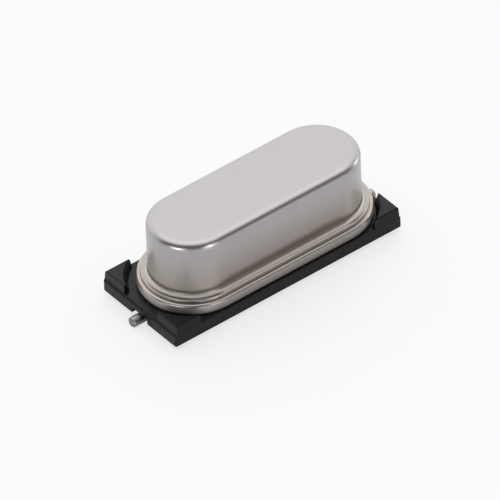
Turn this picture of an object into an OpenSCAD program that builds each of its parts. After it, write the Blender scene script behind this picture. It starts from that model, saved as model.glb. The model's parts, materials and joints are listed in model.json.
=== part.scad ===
// Quartz crystal unit: a low obround metal can welded to a glass-sealed header, on a moulded insulator
// with bent wire leads for surface mounting. Millimetres, +Z up, X along the can.
// Z = 0 is the board that the leads stand on, and the origin is in the middle of the footprint.

/* [Can] */
// Length of the can over its walls
can_l = 10.12; // [9.7:0.02:12]
// Width of the can over its walls
can_w = 3.66; // [3.4:0.02:4.6]
// Height of the can above the header flange
can_h = 2.78; // [2.6:0.02:3.6]
// Thickness of the can's sheet
can_t = 0.2; // [0.15:0.01:0.24]
// Outer radius of the can's top edge
can_top_r = 0.34; // [0.25:0.01:0.4]
// Radius of the fillet where the wall turns out into the flange
can_foot_r = 0.18; // [0.1:0.01:0.22]
// How far the can's flange stands out from its wall
can_flange_reach = 0.31; // [0.28:0.01:0.4]
// Thickness of the can's flange, pressed thin by the weld
can_flange_t = 0.15; // [0.12:0.01:0.18]
// Rounding of the flange's upper edge
can_flange_r = 0.05; // [0.02:0.01:0.08]

/* [Header] */
// How far the header flange stands out past the can's flange
rim_reach = 0.155; // [0.14:0.005:0.3]
// Thickness of the header flange
rim_t = 0.5; // [0.35:0.01:0.6]
// Rounding of the header flange's edges
rim_r = 0.12; // [0.05:0.01:0.13]
// Height of the platform above the header flange
platform_h = 0.75; // [0.6:0.01:0.85]
// Clearance between the platform and the can's inside
platform_gap = 0.18; // [0.1:0.01:0.25]
// Rounding of the platform's top edge
platform_r = 0.2; // [0.1:0.01:0.3]
// Thickness of the platform's roof
roof_t = 0.4; // [0.3:0.01:0.5]
// Thickness of the platform's side walls
skirt_t = 0.4; // [0.3:0.01:0.5]
// Thickness of the collar round each glass seal
collar_t = 0.25; // [0.2:0.01:0.35]

/* [Leads] */
// Distance between the two wires
pitch = 4.88; // [4.4:0.02:5]
// Diameter of the wire
lead_d = 0.45; // [0.38:0.01:0.5]
// How far a wire's tip stands out past the end of the insulator
lead_out = 0.43; // [0.3:0.01:0.8]
// Radius of the bend, at the middle of the wire
bend_r = 0.4; // [0.3:0.01:0.42]
// Depth of the flat coined along the underside of the wire
coin_t = 0.05; // [0.02:0.01:0.08]
// Rounding of the wire's sheared tip
tip_r = 0.07; // [0.02:0.01:0.1]
// Length of bare wire between the header and the nail head
neck_h = 0.25; // [0.15:0.01:0.3]
// Diameter of the nail head
head_d = 0.9; // [0.7:0.01:1.1]
// Thickness of the nail head
head_t = 0.12; // [0.08:0.01:0.15]
// Rounding of the nail head's edge
head_r = 0.04; // [0.02:0.01:0.07]

/* [Glass seals] */
// Diameter of the glass
seal_d = 1.5; // [1.3:0.01:1.6]
// How far the glass stays back from the collar's two faces
seal_inset = 0.04; // [0.02:0.01:0.08]
// Radius of the glass where it creeps up the wire
creep_r = 0.1; // [0.05:0.01:0.13]

/* [Insulator] */
// How far the insulator reaches past the header flange at each end when centred
base_end = 0.315; // [0.25:0.005:0.6]
// How far the insulator reaches past the header flange at each side
base_side = 0.08; // [0.04:0.005:0.3]
// Thickness of the plate
base_t = 0.56; // [0.5:0.01:0.8]
// Height of the plate above the board
base_lift = 0.18; // [0.1:0.01:0.2]
// How far the can, with its header and wires, sits off the insulator's middle
can_shift = 0.16; // [-0.16:0.02:0.16]
// Radius of the plate's corners
corner_r = 0.08; // [0.02:0.01:0.15]
// Height of the ears above the plate
ear_h = 0.42; // [0.2:0.01:0.5]
// Clearance between the ears' feet and the header flange when centred
ear_gap = 0.2; // [0.19:0.01:0.3]
// How far the ears' inner faces slope back
ear_slope = 0.2; // [0.1:0.01:0.25]
// Length of an ear along the insulator
ear_l = 1.35; // [1.1:0.01:1.6]
// Length of an ear across the insulator
ear_w = 1.3; // [1.1:0.01:1.6]
// How far the ears' outer sides lean in
ear_lean = 0.06; // [0.04:0.01:0.2]
// Bevel along the ears' upper edges
ear_bevel = 0.05; // [0.03:0.01:0.12]
// How far the end faces step in at the parting line
step_in = 0.08; // [0.03:0.01:0.12]
// Height of the parting line above the underside
step_h = 0.45; // [0.35:0.01:0.46]
// Height of the slope by which the end faces step in
step_rise = 0.1; // [0.04:0.01:0.1]
// Diameter of the holes for the wires
hole_d = 1; // [0.96:0.01:1.2]
// Width of the grooves for the wires
groove_w = 1; // [0.9:0.01:1.2]
// Clearance between a groove's roof and its wire
groove_gap = 0.04; // [0.02:0.01:0.08]
// Rounding of the groove's upper corners
groove_r = 0.12; // [0.04:0.01:0.2]

/* [Resonator] */
// Clearance between the quartz strip's ends and the can's inside
blank_end = 0.86; // [0.8:0.01:1]
// Clearance between the quartz strip's sides and the can's inside
blank_side = 0.73; // [0.5:0.01:0.9]
// Thickness of the quartz strip
blank_t = 0.12; // [0.08:0.01:0.16]
// Length of the bevel at the quartz strip's ends
bevel_l = 0.2; // [0.1:0.01:0.24]
// Thickness that the bevel leaves at the quartz strip's ends
bevel_t = 0.06; // [0.03:0.01:0.07]
// Thickness of the metal films, far more than the real ones have
film_t = 0.02; // [0.01:0.005:0.03]
// Length of the electrode's active area
pad_l = 4.6; // [3.6:0.1:5.4]
// Width of the electrode's active area
pad_w = 1.3; // [1:0.05:1.6]
// Width of the electrode's tab
tab_w = 0.6; // [0.4:0.05:0.8]
// Thickness of the adhesive under the quartz strip
glue_t = 0.04; // [0.03:0.005:0.06]
// Radius of an adhesive dot
dot_r = 0.42; // [0.3:0.01:0.45]
// How far a dot's middle lies in from the quartz strip's end
dot_in = 0.05; // [0:0.01:0.1]

/* [Clips] */
// Thickness of the clip's sheet
clip_t = 0.1; // [0.06:0.01:0.12]
// Width of the clip
clip_w = 1.3; // [1:0.02:1.4]
// Inner radius of the clip's bends
clip_r = 0.1; // [0.05:0.01:0.12]
// Distance from the wire's axis to where the clip turns up
clip_out = 0.55; // [0.48:0.01:0.6]
// Height of the clip's shelf above its foot
clip_rise = 0.5; // [0.4:0.01:0.55]
// Height of the end stop above the shelf
stop_h = 0.34; // [0.25:0.01:0.4]
// Clearance between the end stop and the quartz strip
stop_gap = 0.4; // [0.35:0.01:0.45]
// Width of the slot that makes the riser springy
slot_w = 0.4; // [0.2:0.02:0.6]

/* [Hidden] */
$fn = 72;
LEFT = -1;
RIGHT = 1;

// Heights, from the board up
lead_r = lead_d / 2;
lead_z = lead_r - coin_t;
base_top_z = base_lift + base_t;
rim_z = base_top_z + rim_t;
platform_z = rim_z + platform_h;
can_top_z = rim_z + can_h;
head_z = platform_z + neck_h;
clip_z = head_z + head_t;
shelf_z = clip_z + clip_rise + clip_t;
blank_z = shelf_z + glue_t;

// The obround outlines share one straight length, so their ends are all about the same two centres
straight_l = can_l - can_w;
can_r = can_w / 2;
can_in_r = can_r - can_t;
can_flange_out = can_r + can_flange_reach;
rim_out = can_flange_out + rim_reach;
platform_out = can_in_r - platform_gap;
pocket_out = platform_out - skirt_t;
flare_r = can_foot_r + can_flange_t;

// Insulator
base_l = straight_l + 2 * (rim_out + base_end);
base_w = 2 * (rim_out + base_side);
groove_h = lead_z + lead_r + groove_gap - base_lift;
tip_x = base_l / 2 + lead_out;
seal_r = seal_d / 2;

// Resonator
blank_l = straight_l + 2 * (can_in_r - blank_end);
blank_w = 2 * (can_in_r - blank_side);
tab_end = blank_l / 2 - bevel_l - film_t;

// How far a cut runs past the face that it opens
over = 1;

// ---- Plane shapes ----

// A rectangle from one corner to the other
module block(low, high) {
    translate(low) square(high - low);
}

// What lies between a corner and the circle that touches both of its sides: added, it fills an inner
// corner with a fillet; cut away, it rounds an outer one. way points from the corner to the circle.
module corner(at, r, way) {
    translate(at) difference() {
        translate([min(0, way.x), min(0, way.y)] * r) square(r);
        translate(way * r) circle(r);
    }
}

// A quarter of a ring, on the side of its centre that way points to
module quarter_ring(at, r_in, r_out, way) {
    translate(at) intersection() {
        difference() {
            circle(r_out);
            circle(r_in);
        }
        translate([min(0, way.x), min(0, way.y)] * r_out) square(r_out);
    }
}

// A rectangle about the origin with rounded corners
module rounded_plate(l, w, r) {
    square([l - 2 * r, w], center = true);
    square([l, w - 2 * r], center = true);
    for (x = [-1, 1], y = [-1, 1])
        translate([x * (l / 2 - r), y * (w / 2 - r)]) circle(r);
}

// A slot outline with half-round ends of radius r
module obround(straight, r) {
    square([straight, 2 * r], center = true);
    for (side = [LEFT, RIGHT])
        translate([side * straight / 2, 0]) circle(r);
}

// ---- Sweeps ----

// Sweeps a profile, drawn as distance out and height, round an obround track
module sweep_obround(straight) {
    for (turn = [0, 180]) rotate([0, 0, turn]) {
        translate([straight / 2, 0, 0]) rotate([0, 0, -90]) rotate_extrude(angle = 180) children();
        translate([-straight / 2, 0, 0]) rotate([90, 0, 90]) linear_extrude(straight) children();
    }
}

// Extrudes an outline drawn in X and Z to a width across Y
module extrude_across(width) {
    rotate([90, 0, 0]) linear_extrude(width, center = true) children();
}

// Extrudes an outline drawn in Y and Z to a length along X
module extrude_along(length) {
    rotate([90, 0, 90]) linear_extrude(length, center = true) children();
}

// Turns a piece drawn at the right end to the other end
module at_end(side) {
    rotate([0, 0, side == LEFT ? 180 : 0]) children();
}

// Moves a piece drawn about the middle to where the can sits
module with_can() {
    translate([can_shift, 0, 0]) children();
}

// ---- Can ----

module can_outside() {
    difference() {
        block([0, rim_z], [can_r, can_top_z]);
        corner([can_r, can_top_z], can_top_r, [-1, -1]);
    }
    difference() {
        block([0, rim_z], [can_flange_out, rim_z + can_flange_t]);
        corner([can_flange_out, rim_z + can_flange_t], can_flange_r, [-1, -1]);
    }
    corner([can_r, rim_z + can_flange_t], can_foot_r, [1, 1]);
}

module can_inside() {
    difference() {
        block([-over, rim_z - over], [can_in_r, can_top_z - can_t]);
        corner([can_in_r, can_top_z - can_t], can_top_r - can_t, [-1, -1]);
    }
    // the sheet's bend leaves the inner edge of the flange rounded
    corner([can_in_r, rim_z], flare_r, [1, 1]);
}

module can() {
    color("silver")
    sweep_obround(straight_l) intersection() {
        difference() {
            can_outside();
            can_inside();
        }
        block([0, rim_z], [can_flange_out, can_top_z]);
    }
}

// ---- Header ----

module header_profile() {
    difference() {
        block([0, base_top_z], [rim_out, rim_z]);
        corner([rim_out, base_top_z], rim_r, [-1, 1]);
        corner([rim_out, rim_z], rim_r, [-1, -1]);
    }
    difference() {
        block([0, base_top_z], [platform_out, platform_z]);
        corner([platform_out, platform_z], platform_r, [-1, -1]);
    }
}

// The pocket pressed up from below, split by the collars round the two seals
module header_pocket() {
    translate([0, 0, base_top_z - over])
        linear_extrude(over + platform_z - roof_t - base_top_z) difference() {
            obround(straight_l, pocket_out);
            for (side = [LEFT, RIGHT])
                translate([side * pitch / 2, 0]) circle(seal_r + collar_t);
        }
}

module header() {
    color("lightgray")
    difference() {
        sweep_obround(straight_l) header_profile();
        header_pocket();
        for (side = [LEFT, RIGHT])
            translate([side * pitch / 2, 0, base_top_z - over])
                cylinder(r = seal_r, h = platform_z - base_top_z + 2 * over);
    }
}

// ---- Glass seals and leads ----

module glass_seal(side) {
    low = base_top_z + seal_inset;
    high = platform_z - seal_inset;
    color("darkseagreen")
    translate([side * pitch / 2, 0, 0]) rotate_extrude() {
        block([lead_r, low], [seal_r, high]);
        corner([lead_r, high], creep_r, [1, 1]);
    }
}

// A round bar with a rounded far end
module bar(r, length, end_r) {
    rotate_extrude() difference() {
        square([r, length]);
        corner([r, length], end_r, [-1, -1]);
    }
}

module lead(side) {
    wire_x = pitch / 2 + side * can_shift;
    turn_x = wire_x + bend_r;
    turn_z = lead_z + bend_r;
    color("gainsboro")
    at_end(side) difference() {
        union() {
            translate([wire_x, 0, turn_z]) cylinder(r = lead_r, h = clip_z - turn_z);
            translate([wire_x, 0, head_z]) bar(head_d / 2, head_t, head_r);
            translate([turn_x, 0, turn_z]) rotate([90, 0, 0]) rotate([0, 0, 180])
                rotate_extrude(angle = 90) translate([bend_r, 0]) circle(lead_r);
            translate([turn_x, 0, lead_z]) rotate([0, 90, 0]) bar(lead_r, tip_x - turn_x, tip_r);
        }
        // flat along the underside, on the board
        translate([0, -over, -over]) cube([tip_x + over, 2 * over, over]);
    }
}

// ---- Insulator ----

// Outline seen from the long side: the end faces step in above the parting line
module insulator_end_faces() {
    half = base_l / 2;
    inner = half - step_in;
    top = base_t + ear_h;
    difference() {
        polygon([
            [-half, 0], [half, 0], [half, step_h], [inner, step_h + step_rise], [inner, top],
            [-inner, top], [-inner, step_h + step_rise], [-half, step_h]
        ]);
        for (side = [-1, 1])
            corner([side * inner, top], ear_bevel, [-side, -1]);
    }
}

// Outline seen from the end: the long sides lean in above the parting line
module insulator_long_faces() {
    top = base_t + ear_h;
    half = base_w / 2;
    lean = half - ear_lean;
    polygon([
        [-half, 0], [half, 0], [half, step_h],
        [lean, top - ear_bevel], [lean - ear_bevel, top],
        [-lean + ear_bevel, top], [-lean, top - ear_bevel],
        [-half, step_h]
    ]);
}

// The ears' inner faces are cones about the round ends of the header flange
module ears() {
    foot_r = rim_out + ear_gap;
    cut_h = ear_h + over;
    difference() {
        for (x = [-1, 1], y = [-1, 1])
            translate([x * (base_l - ear_l) / 2, y * (base_w - ear_w) / 2, 0])
                linear_extrude(base_t + ear_h) square([ear_l, ear_w], center = true);
        for (side = [LEFT, RIGHT])
            translate([side * straight_l / 2, 0, base_t])
                cylinder(r1 = foot_r, r2 = foot_r + ear_slope * cut_h / ear_h, h = cut_h);
    }
}

// A hole for the wire and the groove that its foot lies in
module wire_way(side) {
    reach = base_l / 2 + over - pitch / 2;
    at_end(side) translate([pitch / 2, 0, -over]) {
        cylinder(d = hole_d, h = base_t + 2 * over);
        translate([reach / 2, 0, 0]) extrude_along(reach) difference() {
            block([-groove_w / 2, 0], [groove_w / 2, groove_h + over]);
            for (y = [-1, 1])
                corner([y * groove_w / 2, groove_h + over], groove_r, [-y, -1]);
        }
        cylinder(d = groove_w, h = groove_h - groove_r + over);
    }
}

module insulator() {
    color([0.1, 0.1, 0.11])
    translate([0, 0, base_lift]) difference() {
        intersection() {
            linear_extrude(base_t + ear_h) rounded_plate(base_l, base_w, corner_r);
            extrude_across(base_w + over) insulator_end_faces();
            extrude_along(base_l + over) insulator_long_faces();
            union() {
                translate([0, 0, base_t / 2]) cube([base_l + over, base_w + over, base_t], center = true);
                ears();
            }
        }
        for (side = [LEFT, RIGHT]) wire_way(side);
    }
}

// ---- Resonator ----

// A strip bent in three places, seen from the side: foot, riser, shelf and end stop
module clip_outline() {
    riser_in = clip_out;
    riser_out = clip_out + clip_t;
    riser_top = clip_rise - clip_r;
    shelf_top = clip_rise + clip_t;
    stop_x = blank_l / 2 + stop_gap - pitch / 2;
    block([-clip_w / 2, 0], [riser_in - clip_r, clip_t]);
    quarter_ring([riser_in - clip_r, clip_t + clip_r], clip_r, clip_r + clip_t, [1, -1]);
    block([riser_in, clip_t + clip_r], [riser_out, riser_top]);
    quarter_ring([riser_out + clip_r, riser_top], clip_r, clip_r + clip_t, [-1, 1]);
    block([riser_out + clip_r, clip_rise], [stop_x - clip_r, shelf_top]);
    quarter_ring([stop_x - clip_r, shelf_top + clip_r], clip_r, clip_r + clip_t, [1, -1]);
    block([stop_x, shelf_top + clip_r], [stop_x + clip_t, shelf_top + stop_h]);
}

module clip_body() {
    reach = blank_l / 2 + stop_gap + clip_t - pitch / 2;
    translate([pitch / 2, 0, clip_z]) difference() {
        intersection() {
            extrude_across(clip_w) clip_outline();
            // the foot's inner end is round, about the wire
            linear_extrude(clip_rise + clip_t + stop_h) {
                circle(d = clip_w);
                block([0, -clip_w / 2], [reach, clip_w / 2]);
            }
        }
        // the slot runs up the riser, from bend to bend
        translate([clip_out + clip_t / 2, 0, (clip_rise + clip_t) / 2])
            cube([clip_t + 2 * clip_r, slot_w, clip_rise - clip_t - clip_r], center = true);
    }
}

module clip(side) {
    color("khaki") at_end(side) clip_body();
}

module quartz_blank() {
    half = blank_l / 2;
    land = bevel_t / 2;
    color([0.85, 0.9, 0.95, 0.6])
    translate([0, 0, blank_z + blank_t / 2]) extrude_across(blank_w) polygon([
        [-half, -land], [-half + bevel_l, -blank_t / 2], [half - bevel_l, -blank_t / 2], [half, -land],
        [half, land], [half - bevel_l, blank_t / 2], [-half + bevel_l, blank_t / 2], [-half, land]
    ]);
}

// A metal film: the active area, and a tab to one end of the quartz strip
module electrode(side, z) {
    color("white")
    translate([0, 0, z]) linear_extrude(film_t) {
        square([pad_l, pad_w], center = true);
        at_end(side) block([0, -tab_w / 2], [tab_end, tab_w / 2]);
    }
}

module electrode_upper() electrode(RIGHT, blank_z + blank_t);

module electrode_lower() electrode(LEFT, blank_z - film_t);

// A dome of adhesive on the clip's shelf, round the end of the quartz strip
module adhesive(side) {
    color("dimgray")
    difference() {
        intersection() {
            at_end(side) translate([blank_l / 2 - dot_in, 0, shelf_z]) sphere(dot_r);
            translate([0, 0, shelf_z + over]) cube([2 * tip_x, base_w, 2 * over], center = true);
        }
        at_end(side) clip_body();
        quartz_blank();
        electrode_upper();
        electrode_lower();
    }
}

with_can() can();
with_can() header();
with_can() glass_seal(LEFT);  // glass_seal_left
with_can() glass_seal(RIGHT);  // glass_seal_right
lead(LEFT);  // lead_left
lead(RIGHT);  // lead_right
insulator();
with_can() clip(LEFT);  // clip_left
with_can() clip(RIGHT);  // clip_right
with_can() quartz_blank();
with_can() electrode_upper();
with_can() electrode_lower();
with_can() adhesive(LEFT);  // adhesive_left
with_can() adhesive(RIGHT);  // adhesive_right
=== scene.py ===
"""Looks of the quartz crystal unit: satin nickel can and header, black moulded insulator, tinned wires."""

import json
import math

import bpy
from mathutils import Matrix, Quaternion, Vector


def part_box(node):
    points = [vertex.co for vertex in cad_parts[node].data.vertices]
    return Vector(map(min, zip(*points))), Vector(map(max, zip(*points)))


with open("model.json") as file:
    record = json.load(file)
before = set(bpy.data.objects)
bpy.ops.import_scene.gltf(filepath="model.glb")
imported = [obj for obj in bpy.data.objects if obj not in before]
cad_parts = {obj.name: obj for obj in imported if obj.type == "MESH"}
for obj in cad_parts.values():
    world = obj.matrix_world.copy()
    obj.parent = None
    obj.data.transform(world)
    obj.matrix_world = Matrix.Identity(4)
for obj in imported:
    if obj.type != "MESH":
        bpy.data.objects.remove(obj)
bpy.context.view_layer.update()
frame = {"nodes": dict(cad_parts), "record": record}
nodes = frame["nodes"]

MM = 0.001

# The photograph's view: nearly parallel, so a long lens far away
VIEW_AZIMUTH = math.radians(-37.12)
VIEW_ELEVATION = math.radians(40.28)
VIEW_ROLL = math.radians(-2.16)
VIEW_DISTANCE = 774 * MM
VIEW_TARGET = Vector((0.078, 0.263, 0.370)) * MM
LENS_MM = 1374
SENSOR_MM = 36
CLIP_START = 10 * MM
CLIP_END = 4000 * MM

# How bright the surroundings are: the tent overhead, behind and beside, and the room low and high
TENT_TOP = 1.6
TENT_BACK = 1.3
TENT_SIDE = 0.85
ROOM_LOW = 0.5
ROOM_HIGH = 0.12

# Where the tent's panels point, in degrees: the roof's elevation, and how far the wall is turned
ROOF_ELEVATION = 60
WALL_TURN = 8

# Angles off a panel's own axis between which it fades in, in degrees
ROOM_HIGH_FADE = (92, 68)
ROOF_FADE = (72, 26)
BACK_FADE = (85, 40)
TOP_FADE = (55, 25)
TENT_FADE = (98, 78)

# Soft boxes: degrees round from the camera, degrees up, width and height in mm, radiance
LAMP_DISTANCE = 220 * MM
LAMPS = {
    "left_lamp": (-32, 7, 105, 56, 4.0),
    "right_lamp": (41, 13, 72, 92, 3.3),
    "side_lamp": (112, 6, 45, 52, 3.6),
}

FLOOR_RADIUS = 1500 * MM

# How far towards pure white the floor is lifted: where the camera sees it, and where metal and glass do
FLOOR_LIFT_SEEN = 0.7
FLOOR_LIFT_MIRRORED = 0.1

# What the finishes are measured from, in mm: the plane where can and header are welded, the wires' tips, the
# can's middle, and the end of its straight walls from there
WELD_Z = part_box("can")[0].z / MM
TIP_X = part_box("lead_right")[1].x / MM
CAN_X = (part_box("can")[0].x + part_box("can")[1].x) / 2 / MM
STRAIGHT_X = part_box("can")[1].x / MM - CAN_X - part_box("can")[1].y / MM

# Where the can's finish changes, from and to, in mm above the weld: the wall, the fillet at its foot, which
# ends at 0.33, and the flange, whose face is at 0.15. The first pair is where the wall's colour turns to
# painted shade, browner and darker downwards
WALL_SHADED = (2.2, 0.35)
WALL_DULL = (2.2, 0.7)
WALL_ROUGH = (1.8, 0.6)
FILLET_SATIN = (0.3, 0.36)
WALL_TO_FILLET = (0.26, 0.24)
FLANGE_TO_FILLET = (0.16, 0.19)
FLANGE_EDGE = (0.149, 0.13)
FLANGE_ROUGH = (0.14, 0.18)
GLOSS_OF_FLANGE_TO_WALL = (0.22, 0.26)

# The painted shade at the wall's foot, in mm above the weld too: its fade, the dark line in the corner, and
# where both end on the fillet
SHADE_FADE = (0.48, 0.16)
SHADE_LINE = (0.47, 0.35)
SHADE_END = (0.21, 0.27)

# How far the painted shade's fade climbs along the straight walls, how uneven it is, how much lower the shade
# ends on them, and its strength from 0 to 1
SHADE_CLIMB = 0.2
SHADE_UNEVEN = 0.12
SHADE_LOWER = 0.06
SHADE_STRENGTH = 0.85

# Where the finish turns from that of the round ends to that of the straights, in mm past the straights' end.
# The two differ in colour and metalness as painted reflection, and the painted shade at the foot climbs
# higher on the straights
CAN_TURN = (0.35, -0.15)
SHADE_TURN = (0.6, -0.7)
RIM_TURN = (1.2, 0.3)

# Where the header's finish changes, in mm above the weld: all its rim is below
RIM_WARM = (-0.2, 0)
RIM_FACE = (-0.01, -0.03)
RIM_EDGE = (-0.14, -0.1)
RIM_SIDE = (-0.14, -0.46)

# The wire's sheared end face, from and to, in mm back from the tip
CUT_FACE = (0.05, 0.02)

# Roughness of the can and the header
SATIN = 0.28
DULL = 0.5
MATT = 1


def towards(azimuth, elevation):
    """Unit vector from the object towards a viewer; azimuth 0 stands on the -Y side."""
    flat = math.cos(elevation)
    return Vector((math.sin(azimuth) * flat, -math.cos(azimuth) * flat, math.sin(elevation)))


def make_camera():
    data = bpy.data.cameras.new("camera")
    data.lens = LENS_MM
    data.sensor_width = SENSOR_MM
    data.clip_start = CLIP_START
    data.clip_end = CLIP_END
    camera = bpy.data.objects.new("camera", data)
    bpy.context.scene.collection.objects.link(camera)
    back = towards(VIEW_AZIMUTH, VIEW_ELEVATION)
    camera.location = VIEW_TARGET + back * VIEW_DISTANCE
    camera.rotation_mode = "QUATERNION"
    roll = Quaternion((0, 0, 1), VIEW_ROLL)
    camera.rotation_quaternion = (-back).to_track_quat("-Z", "Y") @ roll
    bpy.context.scene.camera = camera


# ---- Light and floor ----

class Surroundings:
    """The world in the making: masks over the direction that a ray leaves in."""

    def __init__(self):
        self.world = bpy.data.worlds.new("studio")
        self.world.use_nodes = True
        self.tree = self.world.node_tree
        self.tree.nodes.clear()
        self.direction = self.tree.nodes.new("ShaderNodeTexCoord").outputs["Generated"]

    def mask(self, axis, start, end):
        """From 0 to 1 as the angle between the ray and the axis goes from start to end, both in degrees."""
        dot = self.tree.nodes.new("ShaderNodeVectorMath")
        dot.operation = "DOT_PRODUCT"
        dot.inputs[1].default_value = axis
        fade = self.tree.nodes.new("ShaderNodeMapRange")
        fade.interpolation_type = "SMOOTHSTEP"
        for socket, angle in zip(list(fade.inputs)[1:3], (start, end)):
            socket.default_value = math.cos(math.radians(angle))
        self.tree.links.new(self.direction, dot.inputs[0])
        self.tree.links.new(dot.outputs["Value"], fade.inputs["Value"])
        return fade.outputs["Result"]

    def mix(self, mask, first, second):
        """Brightness first where the mask is 0, second where it is 1; either may be a socket."""
        node = self.tree.nodes.new("ShaderNodeMix")
        node.data_type = "RGBA"
        for socket, value in zip((node.inputs[6], node.inputs[7]), (first, second)):
            if isinstance(value, (int, float)):
                socket.default_value = (value, value, value, 1)
            else:
                self.tree.links.new(value, socket)
        self.tree.links.new(mask, node.inputs["Factor"])
        return node.outputs[2]

    def finish(self, color):
        background = self.tree.nodes.new("ShaderNodeBackground")
        output = self.tree.nodes.new("ShaderNodeOutputWorld")
        self.tree.links.new(color, background.inputs["Color"])
        self.tree.links.new(background.outputs[0], output.inputs["Surface"])
        bpy.context.scene.world = self.world


def make_world():
    """A white tent over and behind the object, open towards the camera: the rounded edges show the dim room
    there as their dark line, with the pale table under it."""
    up = Vector((0, 0, 1))
    behind = VIEW_AZIMUTH + math.pi
    roof_axis = towards(behind, math.radians(ROOF_ELEVATION))
    wall_axis = towards(behind + math.radians(WALL_TURN), 0)
    around = Surroundings()
    room = around.mix(around.mask(up, *ROOM_HIGH_FADE), ROOM_LOW, ROOM_HIGH)
    roof = around.mix(around.mask(roof_axis, *ROOF_FADE), room, TENT_TOP)
    wall = around.mix(around.mask(wall_axis, *BACK_FADE), TENT_SIDE, TENT_BACK)
    tent = around.mix(around.mask(up, *TOP_FADE), wall, TENT_TOP)
    around.finish(around.mix(around.mask(wall_axis, *TENT_FADE), roof, tent))


def soft_box(name, turn, elevation, width, height, radiance):
    """A soft box that faces the object. Its power follows from the radiance that it shows."""
    data = bpy.data.lights.new(name, "AREA")
    data.shape = "RECTANGLE"
    data.size = width * MM
    data.size_y = height * MM
    data.energy = radiance * math.pi * (width * MM) * (height * MM)
    box = bpy.data.objects.new(name, data)
    bpy.context.scene.collection.objects.link(box)
    back = towards(VIEW_AZIMUTH + math.radians(turn), math.radians(elevation))
    box.location = back * LAMP_DISTANCE
    box.rotation_mode = "QUATERNION"
    box.rotation_quaternion = back.to_track_quat("Z", "Y")
    box.visible_camera = False


def make_floor():
    """A satin white sheet. What the camera and the metal see of it is lifted a little towards white."""
    bpy.ops.mesh.primitive_circle_add(vertices=96, radius=FLOOR_RADIUS, fill_type="NGON")
    floor = bpy.context.object
    floor.name = "floor"
    sheet = Finish("floor_sheet")
    tone = sheet.noise(0.02)
    sheet.color(tone, (0.87, 0.87, 0.87), (0.89, 0.89, 0.89))
    sheet.roughness(tone, 0.3, 0.34)
    rays = sheet.tree.nodes.new("ShaderNodeLightPath").outputs
    mirrored = sheet.math("MAXIMUM", rays["Is Glossy Ray"], rays["Is Transmission Ray"])
    lift = sheet.math("MAXIMUM", sheet.math("MULTIPLY", rays["Is Camera Ray"], FLOOR_LIFT_SEEN),
                      sheet.math("MULTIPLY", mirrored, FLOOR_LIFT_MIRRORED))
    glow = sheet.tree.nodes.new("ShaderNodeEmission")
    lifted = sheet.tree.nodes.new("ShaderNodeMixShader")
    sheet.link(lift, lifted.inputs[0])
    sheet.link(sheet.shader.outputs[0], lifted.inputs[1])
    sheet.link(glow.outputs[0], lifted.inputs[2])
    sheet.link(lifted.outputs[0], sheet.tree.nodes["Material Output"].inputs["Surface"])
    floor.data.materials.append(sheet.material)


# ---- Finishes ----

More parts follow.
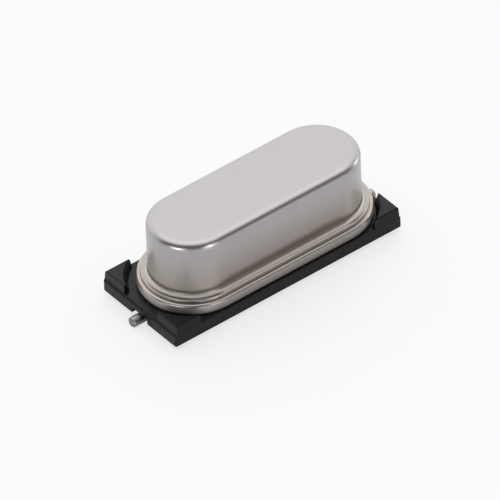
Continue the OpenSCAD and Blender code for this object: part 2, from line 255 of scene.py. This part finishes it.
class Finish:
    """A material in the making. Lengths are in mm, and a mask or a noise is a socket from 0 to 1."""

    def __init__(self, name, metallic=0.0):
        self.material = bpy.data.materials.new(name)
        self.material.use_nodes = True
        self.tree = self.material.node_tree
        self.shader = self.tree.nodes["Principled BSDF"]
        self.shader.inputs["Metallic"].default_value = metallic
        coordinates = self.tree.nodes.new("ShaderNodeTexCoord")
        scale = self.tree.nodes.new("ShaderNodeVectorMath")
        scale.operation = "SCALE"
        scale.inputs["Scale"].default_value = 1 / MM
        self.link(coordinates.outputs["Object"], scale.inputs[0])
        self.place = scale.outputs[0]

    def link(self, source, target):
        self.tree.links.new(source, target)

    # Masks and numbers

    def noise(self, scale, detail=2, stretch=(1, 1, 1)):
        """Noise with so many features to the mm, drawn out where stretch is under 1."""
        node = self.tree.nodes.new("ShaderNodeTexNoise")
        node.inputs["Scale"].default_value = scale
        node.inputs["Detail"].default_value = detail
        if stretch == (1, 1, 1):
            self.link(self.place, node.inputs["Vector"])
        else:
            drawn = self.tree.nodes.new("ShaderNodeVectorMath")
            drawn.operation = "MULTIPLY"
            drawn.inputs[1].default_value = stretch
            self.link(self.place, drawn.inputs[0])
            self.link(drawn.outputs[0], node.inputs["Vector"])
        return node.outputs["Fac"]

    def math(self, operation, first, second):
        node = self.tree.nodes.new("ShaderNodeMath")
        node.operation = operation
        for socket, value in zip(node.inputs, (first, second)):
            if isinstance(value, (int, float)):
                socket.default_value = value
            else:
                self.link(value, socket)
        return node.outputs[0]

    def remap(self, value, start, end, low=0.0, high=1.0):
        """Takes start to low and end to high, and stays there outside them."""
        node = self.tree.nodes.new("ShaderNodeMapRange")
        node.interpolation_type = "SMOOTHSTEP"
        for socket, number in zip(list(node.inputs)[1:5], (start, end, low, high)):
            socket.default_value = number
        self.link(value, node.inputs["Value"])
        return node.outputs["Result"]

    def along(self, axis):
        split = self.tree.nodes.new("ShaderNodeSeparateXYZ")
        self.link(self.place, split.inputs[0])
        return split.outputs[axis]

    def above_weld(self, height, start, end, low=0.0, high=1.0):
        """Remaps a height; start and end are measured up from the weld."""
        return self.remap(height, WELD_Z + start, WELD_Z + end, low, high)

    def past_straight(self, start, end, low=0.0, high=1.0):
        """Remaps the distance from the can's middle, either way along X; start and end are measured outwards
        from where the straight walls turn into the round ends."""
        reach = self.math("ABSOLUTE", self.math("SUBTRACT", self.along("X"), CAN_X), 0)
        return self.remap(reach, STRAIGHT_X + start, STRAIGHT_X + end, low, high)

    def facing_up(self):
        """1 on a flat top, 0 on a wall."""
        normal = self.tree.nodes.new("ShaderNodeSeparateXYZ")
        self.link(self.tree.nodes.new("ShaderNodeNewGeometry").outputs["Normal"], normal.inputs[0])
        return self.remap(normal.outputs["Z"], 0.4, 0.9)

    # Blends

    def mix(self, mask, first, second):
        """Colour first where the mask is 0, second where it is 1; either may be a socket."""
        node = self.tree.nodes.new("ShaderNodeMix")
        node.data_type = "RGBA"
        self.link(mask, node.inputs["Factor"])
        for socket, value in ((node.inputs[6], first), (node.inputs[7], second)):
            if isinstance(value, tuple):
                socket.default_value = (*value, 1)
            else:
                self.link(value, socket)
        return node.outputs[2]

    def blend(self, mask, first, second):
        """As mix, for numbers."""
        greys = [(value,) * 3 if isinstance(value, float) else value for value in (first, second)]
        return self.mix(mask, *greys)

    # What the shader takes

    def color(self, mask, first, second):
        self.link(self.mix(mask, first, second), self.shader.inputs["Base Color"])

    def roughness(self, mask, low, high):
        self.link(self.remap(mask, 0.3, 0.7, low, high), self.shader.inputs["Roughness"])

    def bump(self, height, depth):
        """Relief of so many mm, on top of any relief that is there."""
        node = self.tree.nodes.new("ShaderNodeBump")
        node.inputs["Distance"].default_value = depth * MM
        self.link(height, node.inputs["Height"])
        below = self.shader.inputs["Normal"].links
        if below:
            self.link(below[0].from_socket, node.inputs["Normal"])
        self.link(node.outputs[0], self.shader.inputs["Normal"])


def scratches(finish):
    """A mask of sparse faint lines along X, on what faces up."""
    share, edge, strength = 0.3, 0.04, 0.12
    lines = finish.remap(finish.noise(2.2, 1, (0.25, 6, 1)), 1 - share, 1 - share + edge)
    return finish.math("MULTIPLY", finish.math("MULTIPLY", lines, finish.facing_up()), strength)


def can_plate(finish, up, straight):
    """The plate's colour from the top down: clean, then painted shade down the wall, then the fillet and the
    flange.
    The round ends and the straights differ as painted reflection; the fillet is lighter, and on the straights
    the flange's face is lighter and its edge darker, as painted reflection and painted shade.
    """
    clean = finish.mix(finish.noise(0.55, 3), (0.44, 0.421, 0.424), (0.46, 0.441, 0.444))
    scratched = finish.mix(scratches(finish), clean, (0.6, 0.58, 0.57))
    # Painted shade down the wall: browner, and darker on the straights, whose difference from the round ends
    # is painted reflection
    shaded_lower_wall = finish.mix(straight, (0.45, 0.41, 0.362), (0.38, 0.328, 0.3))
    wall = finish.mix(finish.above_weld(up, *WALL_SHADED), scratched, shaded_lower_wall)
    # On the straights the flange's face is lighter, a painted reflection, and its edge darker, a painted
    # shade
    face_and_edge = finish.mix(finish.above_weld(up, *FLANGE_EDGE), (0.7, 0.638, 0.587), (0.25, 0.228, 0.209))
    flange = finish.mix(straight, (0.395, 0.366, 0.342), face_and_edge)
    # The fillet's lighter colour is a painted reflection
    fillet = finish.mix(finish.above_weld(up, *FLANGE_TO_FILLET), flange, (0.6, 0.565, 0.54))
    return finish.mix(finish.above_weld(up, *WALL_TO_FILLET), wall, fillet)


def painted_foot_shade(finish, up, straight):
    """A mask of painted shade along the wall's foot: a fade that climbs higher up the straight walls, and a
    dark line in the corner all round."""
    climb = finish.past_straight(*SHADE_TURN, 0, SHADE_CLIMB)
    uneven = finish.math("MULTIPLY", finish.noise(1.3, 3), SHADE_UNEVEN)
    height = finish.math("SUBTRACT", up, finish.math("ADD", climb, uneven))
    fade = finish.above_weld(height, *SHADE_FADE, 0, SHADE_STRENGTH)
    line = finish.above_weld(up, *SHADE_LINE, 0, SHADE_STRENGTH)
    raised = finish.math("ADD", up, finish.math("MULTIPLY", straight, SHADE_LOWER))
    return finish.math("MULTIPLY", finish.math("MAXIMUM", fade, line), finish.above_weld(raised, *SHADE_END))


def can_gloss(finish, up, straight):
    """Satin on top, over the fillet and on the flange; duller down the wall and where fillet meets flange."""
    wall_gloss = finish.above_weld(up, *GLOSS_OF_FLANGE_TO_WALL)
    flange = finish.above_weld(up, *FLANGE_ROUGH, SATIN, DULL)
    wall = finish.above_weld(up, *WALL_ROUGH, SATIN, DULL)
    foot = finish.above_weld(up, *FILLET_SATIN, SATIN, MATT)
    rough = finish.blend(wall_gloss, flange, finish.math("MINIMUM", wall, foot))
    finish.link(rough, finish.shader.inputs["Roughness"])

    # The metalness of the lower wall and of the flange differs between the round ends and the straights:
    # painted reflection
    clean = 0.96
    flange_metal = finish.blend(straight, clean, 0.2)
    lower_wall_metal = finish.blend(straight, 0.42, 0.62)
    wall_metal = finish.blend(finish.above_weld(up, *WALL_DULL), clean, lower_wall_metal)
    metal = finish.blend(wall_gloss, flange_metal, wall_metal)
    finish.link(metal, finish.shader.inputs["Metallic"])


def can_nickel():
    finish = Finish("can_nickel")
    up = finish.along("Z")
    straight = finish.past_straight(*CAN_TURN)
    # The dark brown colour here is painted shade along the wall's foot, with a dark line in the corner
    finish.color(painted_foot_shade(finish, up, straight), can_plate(finish, up, straight), (0.13, 0.108, 0.09))
    can_gloss(finish, up, straight)
    finish.bump(finish.noise(5, 3), 0.0012)
    finish.bump(finish.noise(2.4, 3, (1, 1, 0.05)), 0.0015)
    return finish.material


def header_nickel():
    """Only the rim of the header shows: its rounded upper edge, warm from the weld, and the side under it,
    which is duller and darkens downwards as painted shade. The straights are darker than the round ends, as
    painted reflection."""
    finish = Finish("header_nickel", 1.0)
    up = finish.along("Z")
    straight = finish.past_straight(*RIM_TURN)
    # Lighter on the round ends than on the straights: painted reflection
    plate = finish.mix(finish.noise(1.5, 4),
                       finish.mix(straight, (0.52, 0.48, 0.445), (0.37, 0.34, 0.312)),
                       finish.mix(straight, (0.58, 0.54, 0.5), (0.41, 0.38, 0.35)))
    warmth = finish.math("MULTIPLY", finish.above_weld(up, *RIM_WARM), 0.5)
    upper_edge = finish.mix(warmth, plate, (0.33, 0.29, 0.255))
    # Painted shade darkening downwards towards the plastic, lighter on the round ends as painted reflection
    side = finish.mix(finish.above_weld(up, *RIM_SIDE),
                      finish.mix(straight, (0.64, 0.59, 0.545), (0.35, 0.32, 0.294)),
                      finish.mix(straight, (0.46, 0.42, 0.385), (0.18, 0.162, 0.146)))
    finish.color(finish.above_weld(up, *RIM_EDGE), side, upper_edge)
    finish.link(finish.above_weld(up, *RIM_EDGE, DULL, SATIN), finish.shader.inputs["Roughness"])

    side_metal = finish.above_weld(up, *RIM_EDGE, 0.45, 1.0)
    # Less metallic on the straights below the rim's face: painted reflection
    below_face = finish.math("MULTIPLY", finish.above_weld(up, *RIM_FACE), straight)
    metal = finish.math("MINIMUM", side_metal, finish.remap(below_face, 0, 1, 1.0, 0.7))
    finish.link(metal, finish.shader.inputs["Metallic"])
    finish.bump(finish.noise(7, 3), 0.002)
    return finish.material


def black_plastic():
    finish = Finish("black_plastic")
    mottle = finish.noise(1.1, 4)
    moulded = finish.mix(mottle, (0.004, 0.004, 0.005), (0.007, 0.007, 0.008))
    # What faces up is lighter than the walls: painted light
    finish.color(finish.facing_up(), moulded, (0.008, 0.008, 0.009))
    finish.roughness(mottle, 0.28, 0.38)
    finish.shader.inputs["Specular IOR Level"].default_value = 0.25
    finish.bump(finish.noise(9, 3), 0.006)
    return finish.material


def tinned_wire():
    """Drawn wire, darker on the sheared end faces, where the tin is cut through."""
    finish = Finish("tinned_wire", 1.0)
    mottle = finish.noise(2.5, 3)
    plate = finish.mix(mottle, (0.33, 0.325, 0.318), (0.43, 0.425, 0.415))
    reach = finish.math("ABSOLUTE", finish.along("X"), 0)
    cut = finish.remap(reach, TIP_X - CUT_FACE[0], TIP_X - CUT_FACE[1])
    finish.color(cut, plate, (0.26, 0.25, 0.24))
    finish.roughness(mottle, 0.28, 0.4)
    finish.bump(finish.noise(7, 2, (0.12, 1, 1)), 0.004)
    return finish.material


def seal_glass():
    finish = Finish("seal_glass")
    swirl = finish.noise(1.2, 3)
    finish.color(swirl, (0.012, 0.03, 0.024), (0.03, 0.06, 0.045))
    finish.roughness(swirl, 0.06, 0.14)
    finish.shader.inputs["Transmission Weight"].default_value = 0.35
    finish.shader.inputs["IOR"].default_value = 1.52
    finish.bump(finish.noise(2, 2), 0.004)
    return finish.material


def clip_metal():
    finish = Finish("clip_metal", 1.0)
    rolled = finish.noise(10, 2, (1, 0.08, 1))
    finish.color(finish.noise(1.8, 3), (0.5, 0.46, 0.38), (0.58, 0.54, 0.46))
    finish.roughness(rolled, 0.22, 0.34)
    finish.bump(rolled, 0.002)
    return finish.material


def quartz():
    finish = Finish("quartz")
    lapped = finish.noise(14, 4)
    finish.color(lapped, (0.86, 0.9, 0.92), (0.92, 0.95, 0.96))
    finish.roughness(lapped, 0.2, 0.32)
    finish.shader.inputs["Transmission Weight"].default_value = 1.0
    finish.shader.inputs["IOR"].default_value = 1.544
    finish.bump(lapped, 0.002)
    return finish.material


def electrode_silver():
    finish = Finish("electrode_silver", 1.0)
    haze = finish.noise(1.4, 3)
    finish.color(haze, (0.8, 0.79, 0.76), (0.88, 0.87, 0.84))
    finish.roughness(haze, 0.16, 0.26)
    finish.bump(finish.noise(16, 3), 0.001)
    return finish.material


def silver_adhesive():
    finish = Finish("silver_adhesive", 0.6)
    flakes = finish.noise(22, 4)
    finish.color(flakes, (0.36, 0.355, 0.34), (0.52, 0.51, 0.49))
    finish.roughness(flakes, 0.45, 0.65)
    finish.bump(finish.noise(8, 4), 0.012)
    return finish.material


FINISHES = (can_nickel, header_nickel, seal_glass, tinned_wire, black_plastic, clip_metal, quartz,
            electrode_silver, silver_adhesive)


def dress():
    """Each CAD node gets the finish that the record's material slot names."""
    made = {finish.__name__: finish() for finish in FINISHES}
    for part in frame["record"]["subparts"]:
        node = nodes[part["node"]]
        node.data.materials.clear()
        node.data.materials.append(made[part["material_slot"]])


bpy.context.scene.view_settings.view_transform = "Standard"
make_camera()
make_world()
make_floor()
for lamp, setting in LAMPS.items():
    soft_box(lamp, *setting)
dress()
